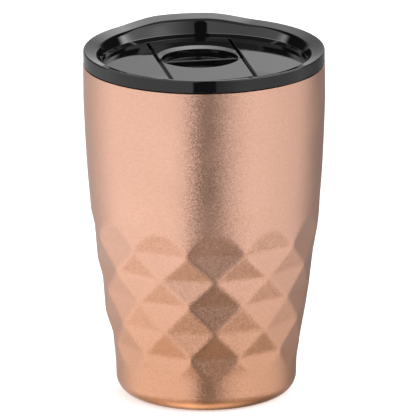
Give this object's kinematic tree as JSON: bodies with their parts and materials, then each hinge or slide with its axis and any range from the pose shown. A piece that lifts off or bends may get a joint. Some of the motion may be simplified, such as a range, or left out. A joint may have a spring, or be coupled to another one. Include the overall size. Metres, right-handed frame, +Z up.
{
  "type": "insulated tumbler with slide lid",
  "caption": "Double-walled steel tumbler with a faceted copper-coloured lower body and a glossy black push-on lid whose flush slider opens a drinking hole.",
  "frame": {"origin": "centre of the base's underside, on the surface that the tumbler stands on", "axes": "+Z up along the cup's axis, +Y towards the drinking side, where the lid's rim rises, and the slider opens towards -Y"},
  "size_m": [0.0854, 0.0854, 0.1272],
  "materials": {
    "copper_paint": "satin metallic lacquer with a fine sparkle",
    "steel": "fine circular brushing",
    "foil": "bright foil, slightly creased",
    "glass_solder": "smooth fired glass",
    "getter": "pressed powder, matt",
    "black_plastic": "high gloss, piano black",
    "clear_silicone": "milky translucent, matt",
    "black_silicone": "matt"
  },
  "bodies": {
    "cup": {"outer_shell": "copper_paint", "inner_liner": "steel", "radiation_foil": "foil", "closing_plate": "steel", "solder_bead": "glass_solder", "getter_holder": "steel", "getter_pellet": "getter", "base_cover": "steel"},
    "lid": {"lid_shell": "black_plastic", "lid_plug": "black_plastic", "lid_gasket": "clear_silicone"},
    "slider": {"slider": "black_plastic", "slider_seal": "black_silicone"}
  },
  "joints": [
    {"name": "lid_lift", "type": "slide", "parent": "cup", "child": "lid", "axis": [0, 0, 1], "range_m": [0, 0.04]},
    {"name": "slider_slide", "type": "slide", "parent": "lid", "child": "slider", "axis": [0, -1, 0], "range_m": [0, 0.013]}
  ]
}
